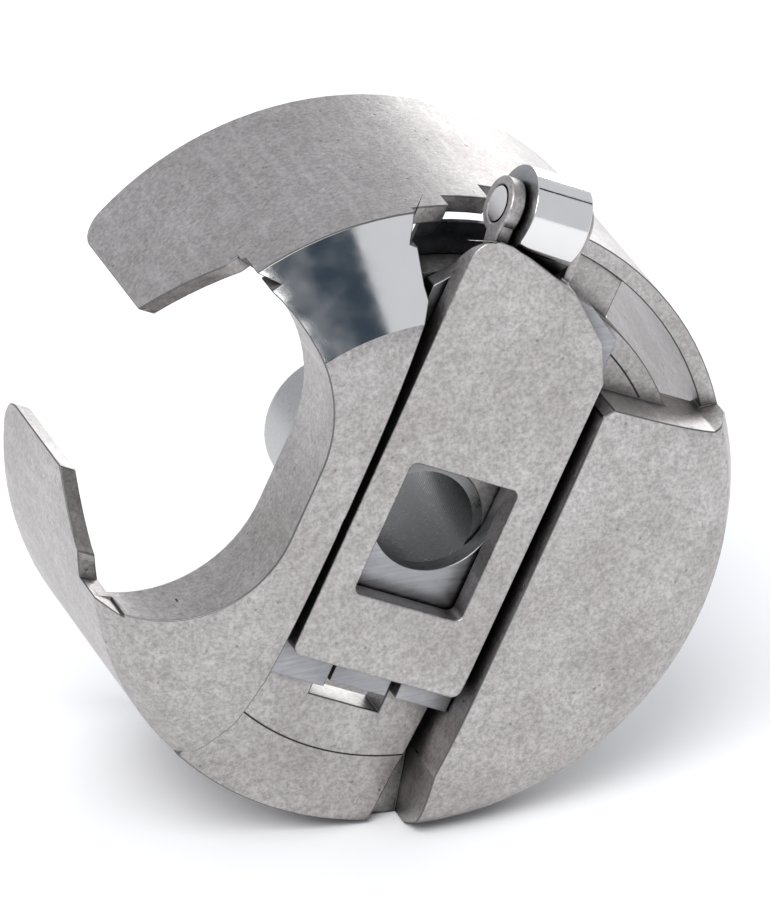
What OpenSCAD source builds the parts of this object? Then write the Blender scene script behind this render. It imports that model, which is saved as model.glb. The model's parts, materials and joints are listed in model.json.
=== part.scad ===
// Latching bobbin case for a lockstitch sewing machine.
// The case is modelled with its axis along local Z, front towards +Z, the
// latch lying along local X with its hinge at +X, then stood on its wall.

/* [Case] */
// Outside diameter of the cylindrical wall
case_d = 24; // [22:0.5:30]
// Length of the wall, from its front edge to the open back
wall_len = 10.4; // [9.6:0.1:14]
// Thickness of the wall
wall_t = 0.65; // [0.45:0.05:0.8]
// Height of the crown's centre above the front edge of the wall
crown_h = 2.94; // [2.8:0.05:4]
// Height of the plain shoulder on the side away from the bay
shoulder_h = 0.7; // [0.3:0.05:1.2]
// Depth of the web's inner face below the front edge of the wall
web_in = 0.72; // [0.6:0.02:1.2]
// Angle of the latch from level, as the case stands
latch_lean = 65; // [0:1:90]

/* [Spindle bore and post] */
// Diameter of the bore that the hook's stud enters
bore_d = 4.2; // [3.4:0.05:4.6]
// Outside diameter of the post that the bobbin turns on
post_d = 5.6; // [5.2:0.05:6]
// Length of the post behind the front edge of the wall
post_len = 8.4; // [6:0.1:9]

/* [Channel and latch] */
// Half width of the channel that the latch lies in
channel_half = 3.9; // [3.6:0.05:4.4]
// Height of the channel floor above the front edge of the wall
floor_z = 0.72; // [0.6:0.02:0.9]
// Side clearance between the slide and the channel
slide_gap = 0.06; // [0.02:0.01:0.1]
// Thickness of the slide
slide_t = 0.76; // [0.6:0.02:0.8]
// Distance from the bore axis to the slide's free end
slide_end = 6.6; // [6.2:0.05:7]
// Distance that the slide moves to let go of the stud
slide_travel = 0.7; // [0.5:0.05:0.8]
// Side clearance between the lever and the channel
lever_gap = 0.42; // [0.2:0.02:0.6]
// Thickness of the lever
lever_t = 1.02; // [0.8:0.02:1.1]
// Distance from the bore axis to the lever's free end
lever_end = 5.34; // [5:0.05:6]
// Length of the window in the lever
window_len = 5.3; // [4.6:0.1:5.6]
// Width of the window in the lever
window_w = 4.44; // [4:0.05:4.8]

/* [Hinge] */
// Diameter of the hinge pin
pin_d = 1.3; // [1:0.05:1.5]
// Distance of the hinge pin outside the wall
pin_out = 0.48; // [0.4:0.02:1]
// Width of the slide's rolled knuckle
knuckle_w = 2.3; // [2:0.05:2.8]
// Wall of the knuckle round the pin
knuckle_t = 0.98; // [0.7:0.02:1]
// Thickness of each lug of the lever
lug_t = 0.6; // [0.4:0.05:0.7]

/* [Bay] */
// Distance from the bore axis to the straight edge of the bay
bay_y = 5.5; // [5.2:0.05:6]
// Corner radius of the bay next to the hinge
bay_r_hinge = 5.5; // [4.5:0.1:5.8]
// Corner radius of the bay next to the lever's free end
bay_r_free = 5; // [4:0.1:5.5]

/* [Tension spring] */
// Width of the tension spring
spring_w = 3.6; // [3:0.1:4.4]
// Thickness of the tension spring
spring_t = 0.3; // [0.2:0.05:0.4]
// Diameter of the adjusting screw's thread
adjust_d = 1.8; // [1.4:0.1:2]
// Diameter of the fixing screw's thread
fixing_d = 1.4; // [1.2:0.1:1.6]

/* [Hidden] */
$fn = 96;

steel = [0.66, 0.64, 0.63];
bright = [0.82, 0.83, 0.85];
smooth = [0.60, 0.62, 0.66];
spring_steel = [0.50, 0.51, 0.54];

case_r = case_d / 2;
inner_r = case_r - wall_t;
far = 3 * case_r;
eps = 0.02;
run = 0.03;

// Crown: a flattened dome, z = h (1 - (r/R)^n)^m above a base level.
crown_n = 3;
crown_m = 0.5;
shoulder_n = 5;
shoulder_m = 0.45;
crown_steps = 18;
crown_last = 0.96;

// The polished facet between the bay and the hinge: where it starts from the
// bore axis, its level 1 mm outside the wall, and its two sides by angle.
facet_in = 0.725 * case_r;
facet_drop = 0.7;
facet_a0 = 15;
facet_a1 = 62;

// Post: its spigot in the web, and the rounding of its end.
spigot_r = bore_d / 2 + 0.35;
shoulder_r = post_d / 2 + 0.3;
brake_t = 0.25;
post_round = 0.4;

// Channel floor: flat to floor_r, then sloping out to the rim.
floor_r = case_r - 2.8;
rim_low_z = 0.35;
groove_z = -0.25;

// Hinge opening: edge of the web, and the rims that the hinge passes over.
hinge_web_r = case_r - 2.04;
pin_x = case_r + pin_out;
slide_z = floor_z + 0.05;
pin_z = slide_z + slide_t / 2;
lever_z = slide_z + slide_t + 0.1;
lever_top = lever_z + lever_t;
lever_half = channel_half - lever_gap;
slide_half = channel_half - slide_gap;
knuckle_y = 0.83;
knuckle_r = pin_d / 2 + knuckle_t;
strap_a = 126;
strap_x = pin_x - 2.25;
slide_head = case_r - 3;
knuckle_gap = 0.1;
knuckle_lo = knuckle_y - knuckle_w / 2;
knuckle_hi = knuckle_y + knuckle_w / 2;
pin_lo = knuckle_lo - knuckle_gap - 0.65 * lug_t;
pin_hi = knuckle_hi + knuckle_gap + lug_t;
lug_r = pin_d / 2 + 0.4;
window_x = 0.17;
window_corner = 0.3;
lever_round = 0.95;

// Slide hole: its round end covers the bore until the slide has moved.
hole_half = 2.4;
hole_x = hole_half - bore_d / 2 + slide_travel;
hole_len = 2.2;

// Tab bent down from the slide's free end into a slot of the web.
tab_lo = -1.5;
tab_hi = 0.85;
tab_t = 0.65;
tab_rise = 0.4;
tab_end = slide_end - 0.15;
tab_slot_lo = tab_lo - 0.25;
tab_slot_hi = tab_hi + 0.3;
tab_slot_end = tab_end + slide_travel + 0.1;
tab_slot_back = tab_end - tab_t - 0.15;

// Pocket of the coil spring that keeps the slide out.
coil_r = 0.62;
coil_wire = 0.26;
coil_x0 = 5.6;
coil_x1 = 8.5;
coil_turns = 7;
coil_sides = 8;
coil_steps = 14;
coil_z = slide_z + 0.02;
pocket_half = coil_r + 0.1;

// Tension spring, round the wall, by angle from the hinge.
spring_a0 = 222;
spring_a1 = 274;
fixing_a = 268;
adjust_a = 246;
spring_z = -5.4;
head_h = 0.55;
slit_a = 219;
slit_w = 0.4;
spring_seat = 0.02;
driver_slot = 0.3;

module stand() rotate([0, -latch_lean, 0]) rotate([90, 0, 0]) children();

function crown(r, h, base, n, m) = base + (h - base) * pow(1 - pow(r / case_r, n), m);

// Half section of the cup: crown, wall and web.
module cup_section(base, n, m) {
    top = [for (i = [0:crown_steps])
        let (r = case_r * crown_last * sin(90 * i / crown_steps))
        [r, crown(r, crown_h, base, n, m)]];
    polygon(concat(top, [[case_r, base], [case_r, -wall_len],
        [inner_r, -wall_len], [inner_r, -web_in], [0, -web_in]]));
}

module bay_side() difference() {
    translate([-far, channel_half]) square([2 * far, far]);
    channel_plan();
}

// The crown is fuller on the side away from the bay, and through the channel.
module cup() {
    intersection() {
        rotate_extrude() cup_section(0, crown_n, crown_m);
        translate([0, 0, -far]) linear_extrude(2 * far) bay_side();
    }
    difference() {
        rotate_extrude() cup_section(shoulder_h, shoulder_n, shoulder_m);
        translate([0, 0, -far]) linear_extrude(2 * far) bay_side();
    }
}

// Outline of the bay in plan, open to the outside.
bay_x0 = -1.2;
bay_x1 = 1.6;
module bay_plan() {
    translate([bay_x0, bay_y]) square([bay_x1 - bay_x0, far]);
    translate([bay_x0, bay_y + bay_r_free]) circle(bay_r_free);
    translate([bay_x1, bay_y + bay_r_hinge]) circle(bay_r_hinge);
    translate([bay_x0 - bay_r_free, bay_y + bay_r_free]) square([bay_r_free + 1, far]);
    translate([bay_x1 - 1, bay_y + bay_r_hinge]) square([bay_r_hinge + 1, far]);
}

// The bay goes through the crown, and its opening in the wall narrows
// towards the back between two horns.
horn_hi = 3.4;
horn_lo = -3.2;
horn_z_hi = -3.7;
horn_z_lo = -4.2;
horn_round = 1;
function horn_corner(x, angles) =
    [for (a = angles) [x + horn_round * cos(a), horn_round - wall_len + horn_round * sin(a)]];

module bay_cut() {
    translate([0, 0, -web_in - 1]) linear_extrude(far) bay_plan();
    difference() {
        translate([0, far, 0]) rotate([90, 0, 0]) linear_extrude(far - bay_y)
            polygon(concat([[bay_x0 - bay_r_free, far], [bay_x0 - bay_r_free, -0.2],
                [bay_x0 - bay_r_free + 1.1, -2], [horn_lo, horn_z_lo]],
                horn_corner(horn_lo - horn_round, [0:-15:-90]), [[horn_lo - horn_round, -far],
                [horn_hi + horn_round, -far]], horn_corner(horn_hi + horn_round, [-90:-15:-180]),
                [[horn_hi, horn_z_hi], [bay_x1 + bay_r_hinge, -1.3], [bay_x1 + bay_r_hinge, far]]));
        translate([0, 0, -far]) cylinder(h = 2 * far, r = inner_r - eps);
    }
}

// Solid below the channel's floor.
module floor_solid() rotate_extrude()
    polygon([[0, -far], [0, floor_z], [floor_r, floor_z],
        [case_r + 1, rim_low_z - 0.15], [case_r + 1, -far]]);

module channel_plan() polygon([
    [0, channel_half], [-slide_end, channel_half], [-floor_r + 0.6, channel_half + 0.15],
    [-case_r + 0.9, channel_half + 0.9], [-far, channel_half + 3],
    [-far, -channel_half - 3], [-case_r + 0.9, -channel_half - 0.7],
    [-floor_r + 0.8, -channel_half], [0, -channel_half]]);

module channel_cut() {
    difference() {
        linear_extrude(far) channel_plan();
        floor_solid();
    }
    // relief groove along the floor's edge, widening to the rim
    translate([0, 0, groove_z]) linear_extrude(far) polygon([
        [1 - slide_end, -channel_half], [1 - slide_end, 0.3 - channel_half],
        [-floor_r, 0.5 - channel_half], [-far, 0.1 - channel_half],
        [-far, -channel_half - 3], [-case_r + 0.9, -channel_half - 0.7],
        [-floor_r + 0.8, -channel_half]]);
}

// Opening round the hinge: crown cut away over the web, then through the web.
hinge_cut_x = 6.84;
module hinge_plan() polygon([
    [-1, channel_half], [case_r - 3.5, channel_half], [case_r - 3.1, channel_half + 0.25],
    [case_r - 1.4, channel_half + 1], [far, channel_half + 3.4], [far, -case_r],
    [hinge_cut_x + 0.9, -case_r], [hinge_cut_x + 0.6, -9.7], [hinge_cut_x + 0.05, -8.8],
    [hinge_cut_x, -channel_half - 0.35],
    [hinge_cut_x - 0.35, -channel_half], [-1, -channel_half]]);

// Ledge left in the web beside the hinge: side, side, level.
ledge_lo = -4;
ledge_hi = pin_lo - 0.9;
ledge_z = -0.25;

// Steps in the wall's edge under the hinge: side, side, level.
hinge_notches = [[pin_lo - 0.9, lever_half + 0.12, -1.2], [0, channel_half + 1, -0.36],
    [knuckle_lo - 0.4, knuckle_lo + 2.1, -2.4]];

module hinge_cut() {
    translate([0, 0, floor_z]) linear_extrude(far) hinge_plan();
    // through the web, inside the wall
    difference() {
        translate([0, 0, -web_in - 1]) linear_extrude(far) intersection() {
            hinge_plan();
            translate([hinge_cut_x, -far]) square([far, 2 * far]);
            circle(inner_r);
        }
        translate([0, 0, -far]) cylinder(h = 2 * far, r = hinge_web_r);
        translate([0, ledge_lo, -far]) cube([far, ledge_hi - ledge_lo, far + ledge_z]);
    }
    // wall cut level with its front edge, then stepped down under the hinge
    linear_extrude(far) intersection() {
        hinge_plan();
        difference() { circle(far); circle(inner_r - eps); }
    }
    for (notch = hinge_notches)
        translate([hinge_web_r, notch[0], notch[2]]) cube([far, notch[1] - notch[0], far]);
}

module facet_cut() intersection() {
    linear_extrude(far) polygon([[0, 0], [far, far * tan(facet_a0)], [far, far * tan(facet_a1)]]);
    rotate_extrude() polygon([[facet_in, crown(facet_in, crown_h, 0, crown_n, crown_m)],
        [case_r + 1, -facet_drop], [case_r + 1, far], [facet_in, far]]);
}

module tab_slot() translate([-tab_slot_end, tab_slot_lo, -web_in - 1])
    cube([tab_slot_end - tab_slot_back, tab_slot_hi - tab_slot_lo, far]);

module coil_pocket() translate([coil_x0, -pocket_half, coil_z - pocket_half])
    cube([hinge_web_r - coil_x0 + 1, 2 * pocket_half, far]);

module wall_hole(a, d) rotate([0, 0, a]) translate([case_r - 2, 0, spring_z])
    rotate([0, 90, 0]) cylinder(h = 3, r = d / 2 + run);

// Slit that leads the thread under the tension spring.
module thread_slit() {
    rotate([0, 0, slit_a]) translate([inner_r - 0.5, -slit_w / 2, -far]) cube([2, slit_w, far + spring_z + 1.4]);
    rotate([0, 0, slit_a]) translate([inner_r - 0.5, -slit_w / 2, spring_z + 0.9]) cube([2, 2.6, 0.5]);
}

module case_body() color(steel) stand() difference() {
    cup();
    bay_cut();
    channel_cut();
    hinge_cut();
    facet_cut();
    tab_slot();
    coil_pocket();
    translate([0, 0, -far]) cylinder(h = 2 * far, r = spigot_r);
    wall_hole(adjust_a, adjust_d);
    wall_hole(fixing_a, fixing_d);
    thread_slit();
}

// Tube with a rounded end and a shoulder that the brake spring sits round,
// its narrower spigot pressed through the web.
module centre_post() color(smooth) stand() rotate_extrude() polygon(concat(
    [[bore_d / 2, floor_z], [spigot_r, floor_z], [spigot_r, -web_in], [shoulder_r, -web_in],
        [shoulder_r, -web_in - brake_t - 0.03], [post_d / 2, -web_in - brake_t - 0.03],
        [post_d / 2, post_round - post_len]],
    [for (a = [15:15:90]) [post_d / 2 - post_round * (1 - cos(a)), post_round - post_len - post_round * sin(a)]],
    [[bore_d / 2, -post_len]]));

// Side view of the knuckle and the strap that rises to it from the plate,
// grown by a gap where another piece clears it.
module knuckle_profile(gap) {
    r = knuckle_r + gap;
    translate([pin_x, pin_z]) circle(r);
    polygon([[pin_x, pin_z], [pin_x + r * cos(strap_a), pin_z + r * sin(strap_a)],
        [strap_x - 1.8 * gap, slide_z + slide_t - 0.1], [pin_x, slide_z]]);
}

// Slide: plate, hole, coil window, tab, and a knuckle rolled round the pin.
module slide_plan() difference() {
    polygon([[0.3 - slide_end, -slide_half], [0.3 - slide_end, 0], [-slide_end, 0],
        [-slide_end, slide_half], [slide_head, slide_half],
        [slide_head + 0.9, 3], [slide_head + 1.3, knuckle_hi], [pin_x, knuckle_hi],
        [pin_x, knuckle_lo], [slide_head + 1.3, knuckle_lo], [slide_head + 0.9, -2.4],
        [slide_head, -slide_half]]);
    translate([hole_x, 0]) circle(hole_half);
    translate([hole_x, -hole_half]) square([hole_len, 2 * hole_half]);
    translate([-slide_end - 1, tab_lo - 0.2]) square([1 + tab_t + 0.7, tab_slot_hi - tab_lo + 0.2]);
    translate([coil_x0, -pocket_half])
        square([coil_x1 - coil_x0 + slide_travel, 2 * pocket_half]);
}

module latch_slide() color(smooth) stand() difference() {
    union() {
        translate([0, 0, slide_z]) linear_extrude(slide_t) slide_plan();
        translate([-tab_end, tab_lo, -web_in]) cube([tab_t, tab_hi - tab_lo, web_in + slide_z + tab_rise]);
        translate([-tab_end, tab_lo, slide_z]) cube([tab_t + 0.9, tab_hi - tab_lo, tab_rise]);
        translate([0, knuckle_hi, 0]) rotate([90, 0, 0]) linear_extrude(knuckle_w) knuckle_profile(0);
    }
    translate([pin_x, knuckle_hi + 1, pin_z]) rotate([90, 0, 0]) cylinder(h = knuckle_w + 2, r = pin_d / 2);
}

// Lever: plate with a window and two lugs on the pin.
module lever_plan() difference() {
    union() {
        polygon([[-lever_end + 0.4, -lever_half], [-lever_end + 0.4, lever_half],
            [pin_x - 0.84 - lever_round, lever_half], [pin_x - 0.84, lever_half - lever_round],
            [pin_x - 0.84, knuckle_hi + 0.25],
            [pin_x - 1.92, -0.9], [pin_x - 3.48, -2.76], [pin_x - 4.8, -lever_half]]);
        translate([pin_x - 0.84 - lever_round, lever_half - lever_round]) circle(lever_round);
        translate([-lever_end, -lever_half + 0.4]) square([1, 2 * lever_half - 0.8]);
        for (s = [-1, 1]) translate([-lever_end + 0.4, s * (lever_half - 0.4)]) circle(0.4);
    }
    translate([window_x - window_len / 2, -window_w / 2 + window_corner])
        square([window_len, window_w - 2 * window_corner]);
    translate([window_x - window_len / 2 + window_corner, -window_w / 2])
        square([window_len - 2 * window_corner, window_w]);
    for (sx = [-1, 1], sy = [-1, 1])
        translate([window_x + sx * (window_len / 2 - window_corner), sy * (window_w / 2 - window_corner)])
            circle(window_corner);
}

module lug(y0, y1, r) translate([0, y1, 0]) rotate([90, 0, 0]) linear_extrude(y1 - y0) {
    translate([pin_x, pin_z]) circle(r);
    polygon([[pin_x - 2.4, lever_z], [pin_x - 2.4, lever_z + 0.3], [pin_x - 1.5, lever_z + 0.55],
        [pin_x - r * cos(62), pin_z + r * sin(62)], [pin_x, pin_z], [pin_x - r, pin_z]]);
}

module latch_lever() color(steel) stand() difference() {
    union() {
        difference() {
            translate([0, 0, lever_z]) linear_extrude(lever_t) lever_plan();
            // clearance round the knuckle, which the lever turns about
            translate([0, far, 0]) rotate([90, 0, 0]) linear_extrude(2 * far) knuckle_profile(knuckle_gap);
        }
        lug(knuckle_hi + knuckle_gap, pin_hi, lug_r);
        lug(pin_lo, knuckle_lo - knuckle_gap, lug_r - 0.1);
    }
    translate([pin_x, far, pin_z]) rotate([90, 0, 0]) cylinder(h = 2 * far, r = pin_d / 2 + run);
}

module hinge_pin() color(bright) stand() translate([pin_x, pin_hi, pin_z])
    rotate([90, 0, 0]) cylinder(h = pin_hi - pin_lo, r = pin_d / 2);

// Swept tube round a helix.
module helix(r, wire, x0, x1, turns) {
    count = turns * coil_steps;
    rings = [for (i = [0:count]) let (a = 360 * i / coil_steps, x = x0 + (x1 - x0) * i / count)
        [for (j = [0:coil_sides - 1]) let (b = 360 * j / coil_sides, q = r - wire / 2 + wire / 2 * cos(b))
            [x + wire / 2 * sin(b), q * cos(a), q * sin(a)]]];
    points = [for (ring = rings) for (p = ring) p];
    side = [for (i = [0:count - 1], j = [0:coil_sides - 1])
        let (k = (j + 1) % coil_sides)
        [i * coil_sides + j, i * coil_sides + k, (i + 1) * coil_sides + k, (i + 1) * coil_sides + j]];
    polyhedron(points, concat(side, [[for (j = [coil_sides - 1:-1:0]) j]],
        [[for (j = [0:coil_sides - 1]) count * coil_sides + j]]));
}

module latch_spring() color(spring_steel) stand()
    translate([0, 0, coil_z]) helix(coil_r, coil_wire, coil_x0 + 0.15, coil_x1 - 0.15, coil_turns);

// Leaf on the web's inner face that keeps the bobbin from overrunning.
module brake_spring() color(spring_steel) stand() translate([0, 0, -web_in - brake_t]) {
    difference() {
        union() {
            cylinder(h = brake_t, r = shoulder_r + 1.3);
            // tongue that holds it, reaching under the hinge opening
            linear_extrude(brake_t) intersection() {
                translate([0, 0.4]) square([case_r, 3.8]);
                circle(inner_r - 0.15);
            }
        }
        translate([0, 0, -1]) cylinder(h = 2, r = shoulder_r + 0.05);
    }
    for (a = [-35, -90, -145]) rotate([0, 0, a])
        translate([shoulder_r + 0.9, -0.8, 0]) rotate([0, 8, 0]) cube([4.2, 1.6, brake_t]);
}

module arc_plate(r0, r1, a0, a1, z0, z1) intersection() {
    translate([0, 0, z0]) difference() {
        cylinder(h = z1 - z0, r = r1);
        translate([0, 0, -1]) cylinder(h = z1 - z0 + 2, r = r0);
    }
    translate([0, 0, z0]) linear_extrude(z1 - z0) polygon([[0, 0],
        [far * cos(a0), far * sin(a0)], [far * cos((a0 + a1) / 2), far * sin((a0 + a1) / 2)],
        [far * cos(a1), far * sin(a1)]]);
}

module tension_spring() color(spring_steel) stand() difference() {
    arc_plate(case_r + spring_seat, case_r + spring_seat + spring_t, spring_a0, spring_a1,
        spring_z - spring_w / 2, spring_z + spring_w / 2);
    wall_hole(adjust_a, adjust_d + 0.1);
    wall_hole(fixing_a, fixing_d + 0.1);
}

module screw(a, d, head_d) rotate([0, 0, a]) translate([0, 0, spring_z]) rotate([0, 90, 0]) difference() {
    union() {
        translate([0, 0, inner_r]) cylinder(h = wall_t + spring_t + 0.1, r = d / 2);
        translate([0, 0, case_r + spring_seat + spring_t]) cylinder(h = head_h, r = head_d / 2);
    }
    translate([-driver_slot / 2, -head_d, case_r + spring_seat + spring_t + head_h - driver_slot])
        cube([driver_slot, 2 * head_d, 1]);
}

module tension_screw() color(bright) stand() screw(adjust_a, adjust_d, adjust_d + 1.4);
module fixing_screw() color(bright) stand() screw(fixing_a, fixing_d, fixing_d + 0.9);

case_body();
centre_post();
latch_slide();
latch_lever();
hinge_pin();
latch_spring();
brake_spring();
tension_spring();
tension_screw();
fixing_screw();
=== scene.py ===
"""Latching bobbin case: satin steel shell, sliding latch, polished hinge and springs."""
import json
import math
import bmesh
import bpy
from mathutils import Matrix, Vector


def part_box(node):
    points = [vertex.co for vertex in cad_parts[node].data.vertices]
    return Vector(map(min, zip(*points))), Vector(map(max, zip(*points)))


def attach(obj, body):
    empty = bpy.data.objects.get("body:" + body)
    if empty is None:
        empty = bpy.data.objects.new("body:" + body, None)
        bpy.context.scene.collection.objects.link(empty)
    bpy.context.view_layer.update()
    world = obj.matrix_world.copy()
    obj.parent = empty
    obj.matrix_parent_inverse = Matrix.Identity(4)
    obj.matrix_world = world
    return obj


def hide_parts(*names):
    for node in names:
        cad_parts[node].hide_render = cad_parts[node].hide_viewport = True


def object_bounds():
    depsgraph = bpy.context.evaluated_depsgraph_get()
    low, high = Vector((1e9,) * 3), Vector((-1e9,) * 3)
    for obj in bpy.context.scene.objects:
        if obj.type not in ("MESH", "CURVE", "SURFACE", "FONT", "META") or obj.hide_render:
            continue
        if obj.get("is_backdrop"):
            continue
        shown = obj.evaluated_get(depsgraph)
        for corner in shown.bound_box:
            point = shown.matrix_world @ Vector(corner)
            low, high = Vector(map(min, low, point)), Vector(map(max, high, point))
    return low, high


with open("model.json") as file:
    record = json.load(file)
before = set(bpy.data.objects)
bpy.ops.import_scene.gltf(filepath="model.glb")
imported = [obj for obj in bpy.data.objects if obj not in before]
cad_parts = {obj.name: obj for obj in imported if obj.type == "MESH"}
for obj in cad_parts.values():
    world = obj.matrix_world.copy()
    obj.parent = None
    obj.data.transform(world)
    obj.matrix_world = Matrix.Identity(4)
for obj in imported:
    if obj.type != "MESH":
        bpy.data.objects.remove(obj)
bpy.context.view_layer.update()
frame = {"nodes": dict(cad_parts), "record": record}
nodes = frame["nodes"]
MM = 0.001

# The case's own axes in the row frame: along the latch towards its hinge,
# across it towards the bay, and out of the front.
LEAN = math.radians(65)
ALONG = Vector((math.cos(LEAN), 0, math.sin(LEAN)))
ACROSS = Vector((-math.sin(LEAN), 0, math.cos(LEAN)))
OUT = Vector((0, -1, 0))
CASE_AXES = Matrix((ALONG, ACROSS, OUT)).transposed()

# Sizes taken from the frame.
WALL_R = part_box("case_body")[1][0]
JOINTS = {joint["name"]: joint for joint in frame["record"]["behaviour"]["joints"]}
PIN = Vector(JOINTS["lever_swing"]["pos_m"])

# Sizes of the case that the frame doesn't state.
FLOOR_R = WALL_R - 2.8 * MM
FLOOR_LEVEL = 0.66 * MM
CROWN_H = 2.94 * MM
FACET_IN = 0.725 * WALL_R
FACET_DROP = 0.7 * MM
KNUCKLE_REACH = 1.75 * MM


# ---------------------------------------------------------------- camera
def look_from(azimuth, elevation, distance, target, lens):
    camera = bpy.data.objects.new("camera", bpy.data.cameras.new("camera"))
    bpy.context.scene.collection.objects.link(camera)
    side, rise = math.radians(azimuth), math.radians(elevation)
    sight = Vector((math.sin(side) * math.cos(rise),
                    math.cos(side) * math.cos(rise), -math.sin(rise)))
    camera.location = target - sight * distance
    camera.rotation_euler = sight.to_track_quat("-Z", "Y").to_euler()
    camera.data.lens = lens
    camera.data.sensor_width = 36
    camera.data.clip_start = 0.01
    camera.data.clip_end = 20
    bpy.context.scene.camera = camera


look_from(azimuth=19.24, elevation=26.26, distance=473.5 * MM,
          target=Vector((-0.97, 0, 2.31)) * MM, lens=516.3)


# ---------------------------------------------------------------- studio
def soft_box(name, place, aim, width, height, power):
    data = bpy.data.lights.new(name, "AREA")
    data.shape = "RECTANGLE"
    data.size, data.size_y = width, height
    data.energy = power
    lamp = bpy.data.objects.new(name, data)
    bpy.context.scene.collection.objects.link(lamp)
    lamp.location = place
    lamp.rotation_euler = (Vector(aim) - Vector(place)).to_track_quat("-Z", "Y").to_euler()


def studio_world(strength):
    world = bpy.data.worlds.new("studio")
    bpy.context.scene.world = world
    world.use_nodes = True
    back = world.node_tree.nodes["Background"]
    back.inputs["Color"].default_value = (0.93, 0.95, 1.0, 1)
    back.inputs["Strength"].default_value = strength


def pale_floor(level):
    shape = bmesh.new()
    bmesh.ops.create_grid(shape, x_segments=2, y_segments=2, size=1.5)
    bmesh.ops.translate(shape, verts=shape.verts, vec=(0, 0, level))
    mesh = bpy.data.meshes.new("floor")
    shape.to_mesh(mesh)
    shape.free()
    floor = bpy.data.objects.new("floor", mesh)
    bpy.context.scene.collection.objects.link(floor)
    paint = bpy.data.materials.new("white_paper")
    paint.use_nodes = True
    shader = paint.node_tree.nodes["Principled BSDF"]
    shader.inputs["Base Color"].default_value = (0.95, 0.953, 0.957, 1)
    shader.inputs["Roughness"].default_value = 0.9
    shader.inputs["Specular IOR Level"].default_value = 0.1
    mesh.materials.append(paint)
    floor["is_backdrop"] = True


def card(name, place, aim, width, height, colour):
    """Flat card that only shows in the metal's reflections."""
    shape = bmesh.new()
    bmesh.ops.create_grid(shape, x_segments=1, y_segments=1, size=0.5)
    bmesh.ops.scale(shape, verts=shape.verts, vec=(width, height, 1))
    facing = (Vector(aim) - Vector(place)).to_track_quat("Z", "Y").to_matrix()
    bmesh.ops.transform(shape, verts=shape.verts,
                        matrix=Matrix.Translation(place) @ facing.to_4x4())
    mesh = bpy.data.meshes.new(name)
    shape.to_mesh(mesh)
    shape.free()
    board = bpy.data.objects.new(name, mesh)
    bpy.context.scene.collection.objects.link(board)
    paint = bpy.data.materials.new(name)
    paint.use_nodes = True
    shader = paint.node_tree.nodes["Principled BSDF"]
    shader.inputs["Base Color"].default_value = (0, 0, 0, 1)
    shader.inputs["Specular IOR Level"].default_value = 0
    shader.inputs["Emission Color"].default_value = (*colour, 1)
    shader.inputs["Emission Strength"].default_value = 1
    mesh.materials.append(paint)
    board.visible_camera = False
    board.visible_shadow = False
    board.visible_diffuse = False
    board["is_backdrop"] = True


# ---------------------------------------------------------------- finishes
class Finish:
    """Node tree of one metal, built up from shared patterns on Object coordinates."""

    def __init__(self, name):
        self.material = bpy.data.materials.new(name)
        self.material.use_nodes = True
        self.tree = self.material.node_tree
        self.shader = self.tree.nodes["Principled BSDF"]
        self.place = self.add("ShaderNodeTexCoord").outputs["Object"]

    def add(self, kind, **settings):
        node = self.tree.nodes.new(kind)
        for key, value in settings.items():
            setattr(node, key, value)
        return node

    def feed(self, socket, value):
        if isinstance(value, bpy.types.NodeSocket):
            self.tree.links.new(value, socket)
        else:
            socket.default_value = value

    def noise(self, scale, detail=4.0, roughness=0.6, stretch=None):
        node = self.add("ShaderNodeTexNoise")
        place = self.place
        if stretch:
            mapping = self.add("ShaderNodeMapping")
            self.feed(mapping.inputs["Vector"], self.place)
            mapping.inputs["Rotation"].default_value = stretch[0]
            mapping.inputs["Scale"].default_value = stretch[1]
            place = mapping.outputs["Vector"]
        self.feed(node.inputs["Vector"], place)
        node.inputs["Scale"].default_value = scale
        node.inputs["Detail"].default_value = detail
        node.inputs["Roughness"].default_value = roughness
        return node.outputs["Fac"]

    def pits(self, scale, size):
        """1 on the plain surface, falling to 0 in scattered pits."""
        cells = self.add("ShaderNodeTexVoronoi")
        self.feed(cells.inputs["Vector"], self.place)
        cells.inputs["Scale"].default_value = scale
        return self.span(cells.outputs["Distance"], 0.0, size, 0.0, 1.0)

    def span(self, value, low, high, to_low, to_high):
        node = self.add("ShaderNodeMapRange")
        node.clamp = True
        self.feed(node.inputs["Value"], value)
        limits = {"From Min": low, "From Max": high, "To Min": to_low, "To Max": to_high}
        for key, number in limits.items():
            node.inputs[key].default_value = number
        return node.outputs["Result"]

    def sum(self, first, second, operation="ADD"):
        node = self.add("ShaderNodeMath", operation=operation)
        self.feed(node.inputs[0], first)
        self.feed(node.inputs[1], second)
        return node.outputs[0]

    def mix(self, factor, first, second, blend="MIX"):
        node = self.add("ShaderNodeMix", data_type="RGBA", blend_type=blend)
        self.feed(node.inputs["Factor"], factor)
        self.feed(node.inputs[6], first)
        self.feed(node.inputs[7], second)
        return node.outputs[2]

    def crease_shade_line(self):
        """1 on the crease where the latch's floor starts to slope to the rim, for painted shade
        along it.
        """
        flat = self.add("ShaderNodeVectorMath", operation="MULTIPLY")
        self.feed(flat.inputs[0], self.place)
        flat.inputs[1].default_value = (1, 0, 1)
        reach = self.add("ShaderNodeVectorMath", operation="LENGTH")
        self.feed(reach.inputs[0], flat.outputs["Vector"])
        off = self.sum(self.sum(reach.outputs["Value"], FLOOR_R, "SUBTRACT"), 0, "ABSOLUTE")
        height = self.add("ShaderNodeSeparateXYZ")
        self.feed(height.inputs["Vector"], self.place)
        level = self.sum(self.sum(height.outputs["Y"], FLOOR_LEVEL, "ADD"), 0, "ABSOLUTE")
        on_floor = self.span(level, 0.12 * MM, 0.14 * MM, 1, 0)
        return self.sum(self.span(off, 0.02 * MM, 0.05 * MM, 1, 0), on_floor, "MULTIPLY")

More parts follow.
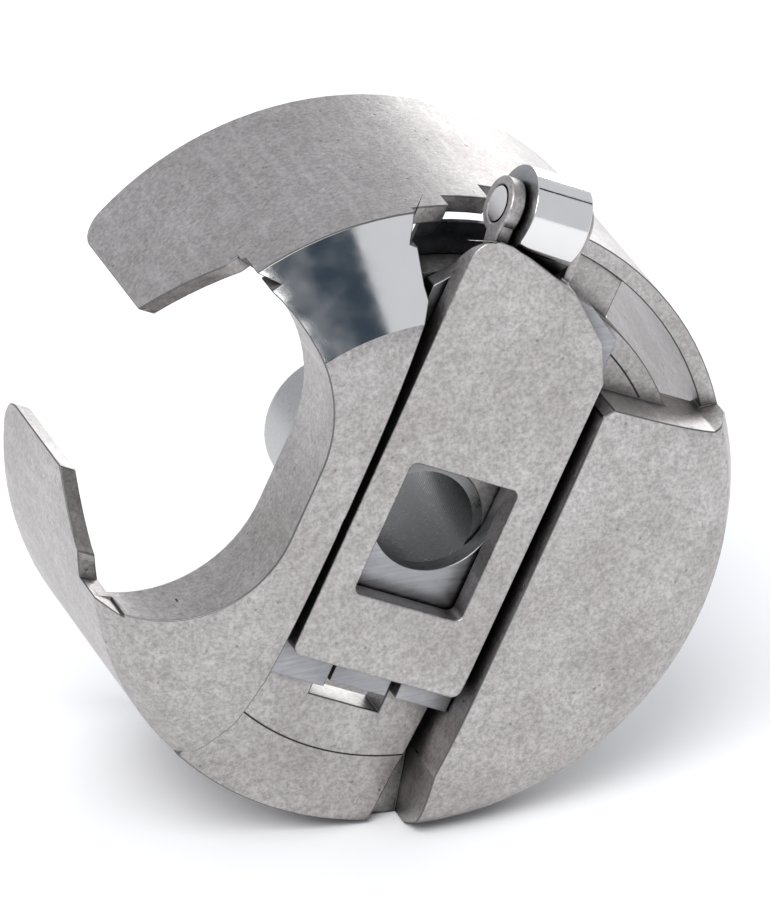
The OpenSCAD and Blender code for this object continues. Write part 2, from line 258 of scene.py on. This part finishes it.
    def turned_normal(self, outward):
        """Normal of a surface turned about the bore, by its radial and forward parts."""
        spoke = self.add("ShaderNodeVectorMath", operation="MULTIPLY")
        self.feed(spoke.inputs[0], self.place)
        spoke.inputs[1].default_value = (1, 0, 1)
        unit = self.add("ShaderNodeVectorMath", operation="NORMALIZE")
        self.feed(unit.inputs[0], spoke.outputs["Vector"])
        slant = self.add("ShaderNodeVectorMath", operation="SCALE")
        self.feed(slant.inputs[0], unit.outputs["Vector"])
        slant.inputs["Scale"].default_value = outward[0]
        both = self.add("ShaderNodeVectorMath", operation="ADD")
        self.feed(both.inputs[0], slant.outputs["Vector"])
        both.inputs[1].default_value = (0, -outward[1], 0)
        result = self.add("ShaderNodeVectorMath", operation="NORMALIZE")
        self.feed(result.inputs[0], both.outputs["Vector"])
        return result.outputs["Vector"]

    def bump(self, height, depth, strength=1.0, normal=None):
        node = self.add("ShaderNodeBump")
        if normal:
            self.feed(node.inputs["Normal"], normal)
        self.feed(node.inputs["Height"], height)
        node.inputs["Distance"].default_value = depth
        node.inputs["Strength"].default_value = strength
        self.feed(self.shader.inputs["Normal"], node.outputs["Normal"])

    def crevice_shade(self, reach):
        """Painted shade mask: 1 in the open, falling to 0 in gaps and inside corners."""
        node = self.add("ShaderNodeAmbientOcclusion", samples=8)
        node.inputs["Distance"].default_value = reach
        return self.span(node.outputs["AO"], 0.25, 0.85, 0.0, 1.0)

    def finish(self, colour, roughness, metallic=1.0, reach=0.9 * MM):
        # Painted shade: the colour falls to near black in gaps and inside corners.
        colour = self.mix(self.crevice_shade(reach), self.mix(0.93, colour, grey(0.02)), colour)
        self.feed(self.shader.inputs["Base Color"], colour)
        self.feed(self.shader.inputs["Roughness"], roughness)
        self.shader.inputs["Metallic"].default_value = metallic
        return self.material


def grey(value, warm=0.0):
    return (value * (1 + warm), value, value * (1 - warm), 1)


def cast_steel(name, turned=None):
    """Tumbled steel: fine grain, scattered pits, faint stains and long rubbing marks."""
    steel = Finish(name)
    stain = steel.noise(260, 5, 0.6)
    mottle = steel.noise(2400, 4, 0.75)
    grain = steel.noise(6500, 4, 0.8)
    marks = steel.noise(2600, 3, 0.6, stretch=((0, 0.6, 0), (1, 0.12, 1)))
    pits = steel.pits(1500, 0.13)
    tone = steel.mix(steel.span(stain, 0.35, 0.7, 0, 1),
                     (0.46, 0.43, 0.42, 1), (0.60, 0.57, 0.56, 1))
    tone = steel.mix(steel.span(mottle, 0.4, 0.6, 0.28, 0), tone, grey(0.22, 0.05))
    tone = steel.mix(steel.span(grain, 0.4, 0.6, 0.5, 0), tone, grey(0.16, 0.05))
    tone = steel.mix(steel.span(marks, 0.5, 0.7, 0, 0.2), tone, grey(0.7, 0.02))
    tone = steel.mix(steel.span(pits, 0, 1, 0.7, 0), tone, grey(0.1, 0.1))
    # Painted shade: a near-black line along the floor's crease.
    tone = steel.mix(steel.crease_shade_line(), tone, grey(0.03))
    height = steel.sum(steel.sum(grain, 0.6, "MULTIPLY"), steel.sum(marks, 0.35, "MULTIPLY"))
    steel.bump(steel.sum(height, pits), 0.02 * MM, 0.9, turned and steel.turned_normal(turned))
    return steel.finish(tone, steel.span(grain, 0.25, 0.75, 0.32, 0.48))


def polished(name, tone, rough, turned=None):
    steel = Finish(name)
    haze = steel.noise(900, 3, 0.5)
    lines = steel.noise(5200, 2, 0.5, stretch=((0, -LEAN, 0), (0.15, 1, 1)))
    steel.bump(lines, 0.002 * MM, 0.5, turned and steel.turned_normal(turned))
    return steel.finish(steel.mix(haze, grey(tone * 0.94, 0.01), grey(tone, 0.01)),
                        steel.span(haze, 0.3, 0.7, rough, rough + 0.07))


def ground_steel():
    """Smooth bluish plate with a fine straight grain along the slide."""
    steel = Finish("ground_steel")
    stain = steel.noise(420, 4, 0.6)
    lines = steel.noise(7000, 3, 0.6, stretch=((0, -LEAN, 0), (0.08, 1, 1)))
    tone = steel.mix(steel.span(stain, 0.3, 0.7, 0, 1),
                     (0.30, 0.30, 0.315, 1), (0.44, 0.44, 0.45, 1))
    tone = steel.mix(steel.span(lines, 0.35, 0.65, 0.35, 0), tone, grey(0.14))
    steel.bump(lines, 0.006 * MM, 0.7)
    return steel.finish(tone, steel.span(lines, 0.3, 0.7, 0.26, 0.4))


def blued_spring():
    steel = Finish("blued_spring")
    stain = steel.noise(500, 4, 0.55)
    tone = steel.mix(steel.span(stain, 0.3, 0.7, 0, 1),
                     (0.06, 0.065, 0.07, 1), (0.16, 0.17, 0.19, 1))
    steel.bump(steel.noise(6000, 3, 0.6), 0.004 * MM, 0.6)
    return steel.finish(tone, steel.span(stain, 0.3, 0.7, 0.22, 0.36))


def turned_steel():
    """Turned post: fine rings round the bore's axis, with painted shade darkening the inside of
    the bore.
    """
    steel = Finish("turned_steel")
    rings = steel.add("ShaderNodeTexWave", wave_type="BANDS", bands_direction="Y")
    steel.feed(rings.inputs["Vector"], steel.place)
    rings.inputs["Scale"].default_value = 2200
    rings.inputs["Distortion"].default_value = 0.6
    grain = steel.noise(5000, 3, 0.6)
    steel.bump(steel.sum(rings.outputs["Fac"], grain), 0.006 * MM, 0.8)
    tone = steel.mix(grain, grey(0.34), grey(0.5))
    return steel.finish(tone, steel.span(grain, 0.3, 0.7, 0.24, 0.4), reach=4 * MM)


SATIN = cast_steel("cast_steel")
WALL = cast_steel("cast_steel_wall", turned=(1, 0))
MIRROR = polished("polished_steel", 0.74, 0.05)
FACET = polished("polished_facet", 0.78, 0.05, turned=(0.7, 1))
# Dark finish for the shell's bevel faces: painted shade along the edges.
SHADED_EDGE = polished("dark_edge_shade", 0.16, 0.3)
BRIGHT = polished("bright_steel", 0.66, 0.14)
GROUND = ground_steel()
BLUED = blued_spring()
TURNED = turned_steel()


# ---------------------------------------------------------------- pieces
def soften(piece, width, angle=35, segments=2, material=-1):
    """Breaks the sharp edges and shades the curves smooth."""
    edge = piece.modifiers.new("edge", "BEVEL")
    edge.width = width
    edge.segments = segments
    edge.limit_method = "ANGLE"
    edge.angle_limit = math.radians(angle)
    edge.use_clamp_overlap = False
    edge.harden_normals = True
    edge.material = material


def cleaned_copy(name, node, sliver=0):
    """Merged copy of a CAD node's mesh, with flat faces joined up again and slivers taken out."""
    shape = bmesh.new()
    shape.from_mesh(nodes[node].data)
    bmesh.ops.remove_doubles(shape, verts=shape.verts, dist=0.015 * MM)
    if sliver:
        bmesh.ops.dissolve_degenerate(shape, edges=shape.edges, dist=0.7 * sliver)
    bmesh.ops.dissolve_limit(shape, angle_limit=math.radians(0.6),
                             verts=shape.verts, edges=shape.edges)
    if sliver:
        bmesh.ops.dissolve_degenerate(shape, edges=shape.edges, dist=sliver)
    for face in shape.faces:
        face.smooth = True
    mesh = bpy.data.meshes.new(name)
    shape.to_mesh(mesh)
    shape.free()
    mesh.set_sharp_from_angle(angle=math.radians(28))
    piece = bpy.data.objects.new(name, mesh)
    bpy.context.scene.collection.objects.link(piece)
    return piece


def stand_for(piece, node, body, slot, *finishes):
    for finish in finishes:
        piece.data.materials.append(finish)
    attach(piece, body)
    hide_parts(node)


def paint_node(node, finish):
    data = nodes[node].data
    if not data.materials:
        data.materials.append(finish)
    for index in range(len(data.materials)):
        nodes[node].material_slots[index].link = "OBJECT"
        nodes[node].material_slots[index].material = finish


def give_finish(piece, slot, belongs):
    """Puts the slot's finish on faces whose corners all pass the test, in the case's own axes."""
    to_case = CASE_AXES.transposed()
    mesh = piece.data
    for face in mesh.polygons:
        if all(belongs(to_case @ mesh.vertices[corner].co) for corner in face.vertices):
            face.material_index = slot


def on_wall(point):
    return abs(math.hypot(point.x, point.y) - WALL_R) < 0.03 * MM


def on_facet(point):
    """On the polished cone between the bay and the hinge."""
    top = CROWN_H * math.sqrt(1 - (FACET_IN / WALL_R) ** 3)
    slope = (top + FACET_DROP) / (WALL_R + 1 * MM - FACET_IN)
    off = point.z - top + slope * (math.hypot(point.x, point.y) - FACET_IN)
    return abs(off) < 0.02 * MM and point.x > 0 and point.y > 0


def on_knuckle(point):
    pin = CASE_AXES.transposed() @ PIN
    return math.hypot(point.x - pin.x, point.z - pin.z) < KNUCKLE_REACH


shell = cleaned_copy("shell", "case_body", sliver=0.03 * MM)
stand_for(shell, "case_body", "case", "cast_steel", SATIN, FACET, WALL, SHADED_EDGE)
give_finish(shell, 1, on_facet)
give_finish(shell, 2, on_wall)
# Bevel faces take the dark edge finish in slot 3, painted shade along the edges.
soften(shell, 0.05 * MM, material=3)

lever = cleaned_copy("lever", "latch_lever")
soften(lever, 0.1 * MM, segments=3)
stand_for(lever, "latch_lever", "lever", "latch_plate", SATIN)

slide = cleaned_copy("slide", "latch_slide")
stand_for(slide, "latch_slide", "slide", "slide_steel", GROUND, MIRROR)
give_finish(slide, 1, on_knuckle)
soften(slide, 0.05 * MM)

paint_node("centre_post", TURNED)
paint_node("hinge_pin", BRIGHT)
paint_node("latch_spring", BLUED)
paint_node("brake_spring", BLUED)
paint_node("tension_spring", BLUED)
paint_node("tension_screw", BRIGHT)
paint_node("fixing_screw", BRIGHT)

bpy.context.scene.view_settings.view_transform = "Standard"
studio_world(0.8)
pale_floor(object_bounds()[0][2] - 0.02 * MM)
soft_box("key", (-0.35, -0.5, 0.75), (0, 0, 0), 0.6, 0.6, 6.5)
soft_box("back_right", (0.6, 0.6, 0.22), (0, 0, 0), 0.5, 0.4, 2)
card("camera_side", (-0.05, -0.45, 0.38), (0, 0, 0), 0.2, 0.2, (0.045, 0.065, 0.09))
card("right_flag", (0.46, -0.03, 0.31), (0, 0, 0), 0.04, 0.5, (0.02, 0.02, 0.025))
